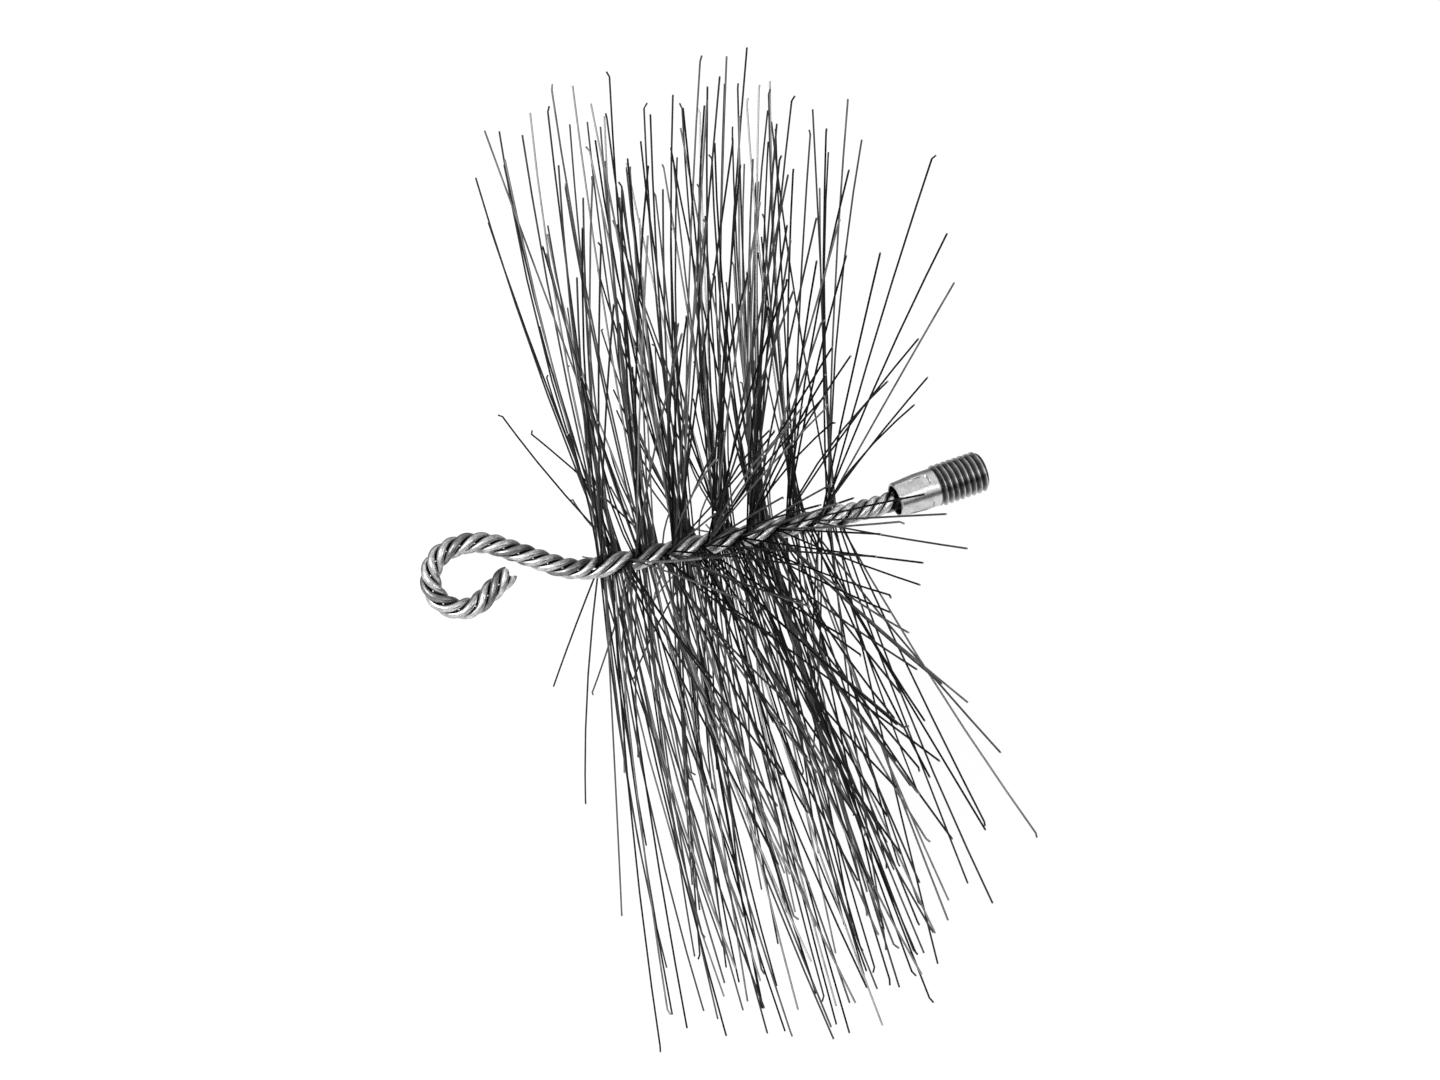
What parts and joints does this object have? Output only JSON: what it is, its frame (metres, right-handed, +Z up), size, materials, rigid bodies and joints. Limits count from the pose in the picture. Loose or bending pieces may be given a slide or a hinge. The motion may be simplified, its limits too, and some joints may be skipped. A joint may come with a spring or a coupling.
{
  "type": "chimney sweep brush",
  "caption": "Round twisted-wire chimney brush: stiff steel bristles held between four twisted core wires, with an open bent eye at one end and a crimped, threaded ferrule at the other.",
  "frame": {"origin": "on the ground, under the middle of the brush's bounding box; the brush lies on its lowest bristle tips", "axes": "+X along the stem towards the threaded ferrule, +Z up"},
  "size_m": [0.1636, 0.2676, 0.2678],
  "materials": {
    "galvanised_wire": "galvanised, mottled, half-matt light grey",
    "tempered_steel": "oil-tempered spring steel, dark grey with a soft shine",
    "zinc_plating": "bright zinc plating, satin"
  },
  "bodies": {
    "root": {"core_wire_1": "galvanised_wire", "core_wire_2": "galvanised_wire", "core_wire_3": "galvanised_wire", "core_wire_4": "galvanised_wire", "bristles_1": "tempered_steel", "bristles_2": "tempered_steel", "bristles_3": "tempered_steel", "bristles_4": "tempered_steel", "threaded_ferrule": "zinc_plating"}
  },
  "joints": []
}
